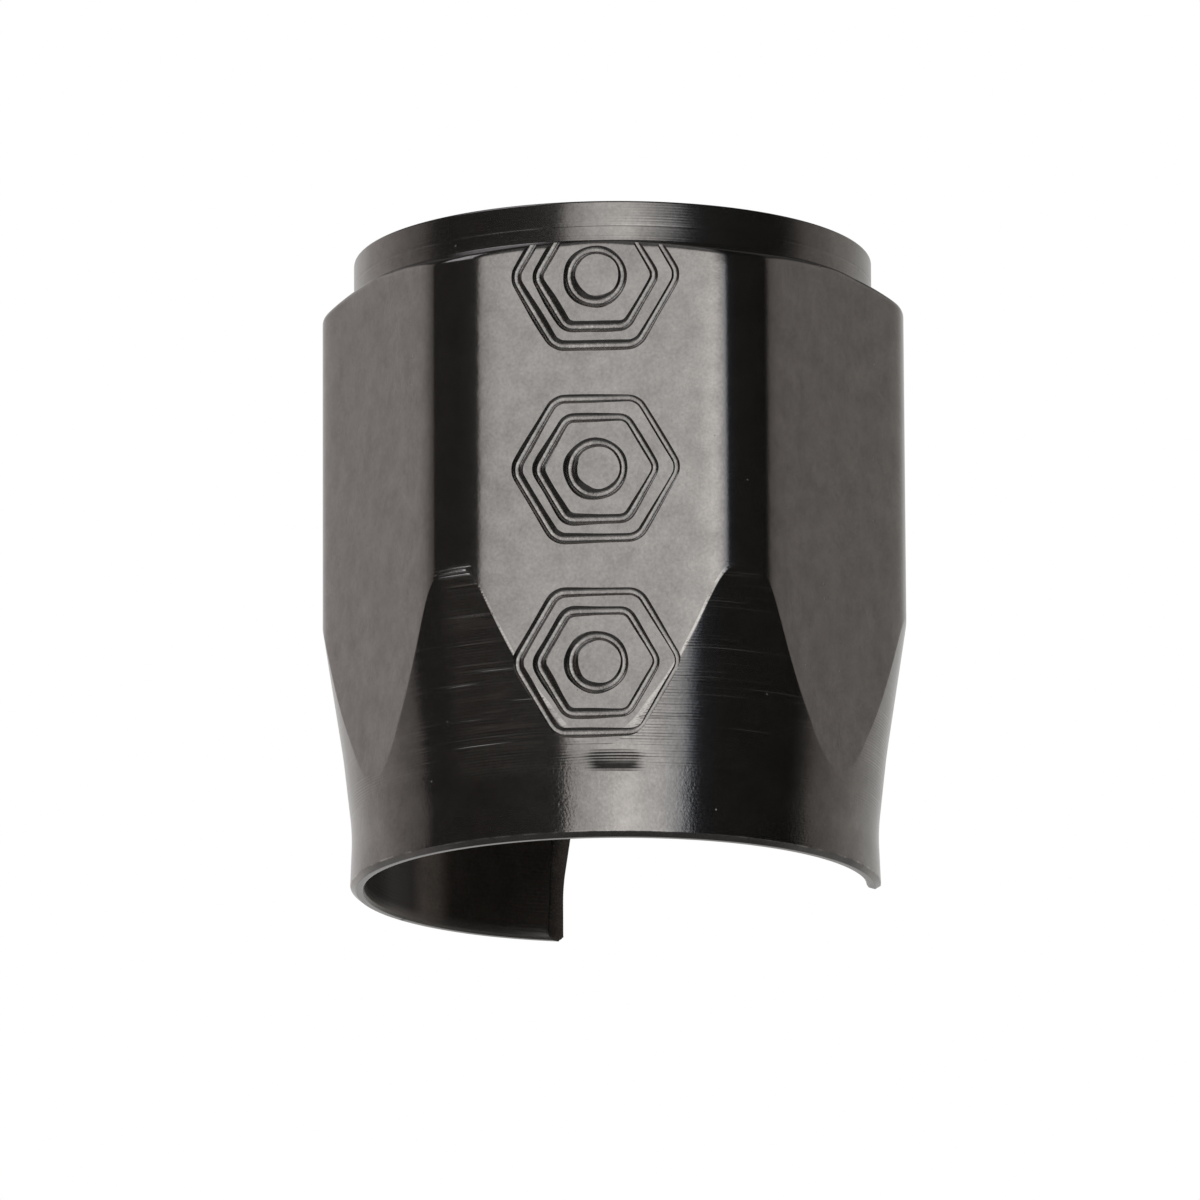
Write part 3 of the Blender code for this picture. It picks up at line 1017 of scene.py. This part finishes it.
def studio_flag():
    """A black card in front and to the right, above the line of sight that the flats mirror, so
    only the collar mirrors it. There it dims the bright panel towards the right: the card is
    see-through at its left edge and closes smoothly to three quarters at its right one."""
    along = np.array([math.cos(FLAG_AZIMUTH), math.sin(FLAG_AZIMUTH), 0.0])
    facing = np.array([math.sin(FLAG_AZIMUTH), -math.cos(FLAG_AZIMUTH), 0.0])
    corner = FLAG_DISTANCE * facing + FLAG_LEFT * along + FLAG_BOTTOM_Z * UP
    width = FLAG_WIDTH * along
    height = FLAG_HEIGHT * UP
    points = np.array([corner, corner + width, corner + width + height, corner + height])
    flag = add_mesh("flag", points, [[0, 1, 2, 3]])
    material, tree, position = new_material("flag_black")
    tree.nodes["Principled BSDF"].inputs["Base Color"].default_value = (0.01, 0.01, 0.01, 1.0)
    run = node(tree, "ShaderNodeVectorMath", {0: position, 1: tuple(along)}, operation="DOT_PRODUCT")
    right_edge = (FLAG_LEFT + FLAG_WIDTH) * MM
    closed = ramp_between(tree, run.outputs["Value"], FLAG_LEFT * MM, right_edge)
    see_through(material, times_plus(tree, closed, FLAG_OPEN_RIGHT - 1.0, 1.0))
    flag.data.materials.append(material)
    flag.visible_camera = False
    flag.visible_diffuse = False
    flag.visible_shadow = False


def studio_lights():
    """Two soft panels that shade the floor. The object mirrors the studio's walls and not them."""
    for name, spot, size, power in (
        ("key", (-0.22, -0.3, 0.42), 0.25, 2.2),
        ("fill", (0.35, -0.1, 0.3), 0.3, 0.9),
    ):
        data = bpy.data.lights.new(name, "AREA")
        data.energy = power
        data.size = size
        lamp = bpy.data.objects.new(name, data)
        lamp.location = spot
        lamp.rotation_euler = (-Vector(spot)).to_track_quat("-Z", "Y").to_euler()
        lamp.visible_glossy = False
        lamp.visible_camera = False
        bpy.context.scene.collection.objects.link(lamp)


def face_arrays(mesh):
    """Each face's normal, and its centre in millimetres."""
    arrays = []
    for name in ("normal", "center"):
        values = np.empty(len(mesh.polygons) * 3)
        mesh.polygons.foreach_get(name, values)
        arrays.append(values.reshape(-1, 3))
    return arrays[0], arrays[1] / MM


def sort_faces(body, materials):
    """Gives each face of the plain skin its finish. Whatever lies within the bores and below their
    mouth is bore; of the rest, what faces up or down is faced, what faces the axis is bore too, and
    what remains is outside."""
    for material in materials:
        body.data.materials.append(material)
    outside, faced, bore = range(3)
    normal, centre = face_arrays(body.data)
    radius = np.hypot(centre[:, 0], centre[:, 1])
    within = (radius < CHAMBER_RADIUS) & (centre[:, 2] < LENGTH - MOUTH_CHAMFER - 0.1)
    level = np.abs(normal[:, 2]) > 0.8
    inward = (normal[:, :2] * centre[:, :2]).sum(1) < 0
    finish = np.select([within, level, inward], [bore, faced, bore], outside)
    body.data.polygons.foreach_set("material_index", finish.astype(np.int32))


def shade_sleeve(sleeve):
    """Smooth over the round skin and sharp at corners. The marked flat's own faces stay flat, so
    that the grooves beside them don't bend its reflection."""
    mesh = sleeve.data
    mesh.shade_smooth()
    mesh.set_sharp_from_angle(angle=SHARP_ANGLE)
    normal, centre = face_arrays(mesh)
    forward = normal[:, 1] < -math.cos(math.radians(0.6))
    on_flat = centre[:, 1] < 0.02 - FLAT_DISTANCE
    mesh.polygons.foreach_set("use_smooth", ~(forward & on_flat))


def add_camera():
    """The photograph's view: 13 degrees from below, a little to the right of the front flat. The
    camera stands back from the sleeve's middle, is moved a little, and rolls about its own line of
    sight."""
    front = np.array([math.sin(CAMERA_TURN), -math.cos(CAMERA_TURN), 0.0])
    right = np.array([math.cos(CAMERA_TURN), math.sin(CAMERA_TURN), 0.0])
    back = math.cos(CAMERA_TILT) * front - math.sin(CAMERA_TILT) * UP
    up = np.cross(back, right)
    middle = LENGTH / 2 * UP
    spot = middle + CAMERA_DISTANCE * back + CAMERA_RIGHT * right + CAMERA_UP * up
    rolled_right = math.cos(CAMERA_ROLL) * right - math.sin(CAMERA_ROLL) * up
    rolled_up = math.sin(CAMERA_ROLL) * right + math.cos(CAMERA_ROLL) * up
    data = bpy.data.cameras.new("camera")
    data.sensor_width = SENSOR_WIDTH
    data.lens = FOCAL_PIXELS / FRAME_PIXELS * SENSOR_WIDTH
    data.clip_start = 0.01
    data.clip_end = 20.0
    camera = bpy.data.objects.new("camera", data)
    rows = np.column_stack([rolled_right, rolled_up, back, spot * MM]).tolist()
    camera.matrix_world = Matrix(rows + [[0.0, 0.0, 0.0, 1.0]])
    bpy.context.scene.collection.objects.link(camera)
    bpy.context.scene.camera = camera


bpy.context.scene.view_settings.view_transform = "Standard"
groups = {
    "lines": make_tool_lines(),
    "grain": make_grain(),
    "specks": make_specks(),
}
sleeve = build_sleeve(groups)
shade_sleeve(sleeve)
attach(sleeve, "root")
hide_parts("tube_seal")
studio_world()
studio_floor()
studio_flag()
studio_lights()
add_camera()
